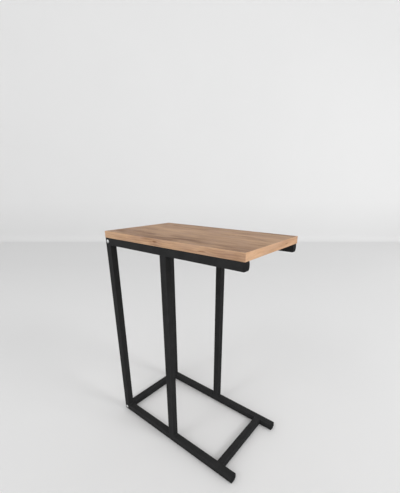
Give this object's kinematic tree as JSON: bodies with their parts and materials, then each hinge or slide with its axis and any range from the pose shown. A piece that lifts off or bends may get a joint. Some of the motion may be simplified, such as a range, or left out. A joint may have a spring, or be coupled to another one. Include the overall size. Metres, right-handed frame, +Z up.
{
  "type": "c shaped side table",
  "caption": "C shaped side table: wood-look board on a black square-tube frame, open at one end so that the base slides under a sofa or bed.",
  "frame": {"origin": "on the floor, under the middle of the board", "axes": "+X towards the open front end, +Y to the left side, +Z up"},
  "size_m": [0.45, 0.256, 0.62],
  "materials": {
    "wood_board": "matt grey-brown wood grain",
    "wood_edge_band": "matt wood grain, lighter than the face",
    "black_powder_coat": "satin black powder coat",
    "zinc_steel": "bright zinc plate",
    "black_plastic": "fine matt moulding"
  },
  "bodies": {
    "root": {"table_top_board": "wood_board", "right_edge_band": "wood_edge_band", "left_edge_band": "wood_edge_band", "rear_edge_band": "wood_edge_band", "front_edge_band": "wood_edge_band", "right_top_rail": "black_powder_coat", "right_floor_rail": "black_powder_coat", "right_rear_leg": "black_powder_coat", "right_middle_leg": "black_powder_coat", "left_top_rail": "black_powder_coat", "left_floor_rail": "black_powder_coat", "left_rear_leg": "black_powder_coat", "left_middle_leg": "black_powder_coat", "rear_top_cross_bar": "black_powder_coat", "rear_floor_cross_bar": "black_powder_coat", "front_floor_cross_bar": "black_powder_coat", "right_spigot": "black_powder_coat", "left_spigot": "black_powder_coat", "right_top_threaded_plug": "zinc_steel", "right_floor_threaded_plug": "zinc_steel", "left_top_threaded_plug": "zinc_steel", "left_floor_threaded_plug": "zinc_steel", "right_top_frame_bolt": "zinc_steel", "right_floor_frame_bolt": "zinc_steel", "left_top_frame_bolt": "zinc_steel", "left_floor_frame_bolt": "zinc_steel", "right_set_screw": "zinc_steel", "left_set_screw": "zinc_steel", "right_rear_top_screw": "zinc_steel", "right_front_top_screw": "zinc_steel", "left_rear_top_screw": "zinc_steel", "left_front_top_screw": "zinc_steel", "right_top_end_cap": "black_plastic", "right_floor_end_cap": "black_plastic", "left_top_end_cap": "black_plastic", "left_floor_end_cap": "black_plastic", "right_rear_glide": "black_plastic", "right_front_glide": "black_plastic", "left_rear_glide": "black_plastic", "left_front_glide": "black_plastic"}
  },
  "joints": []
}
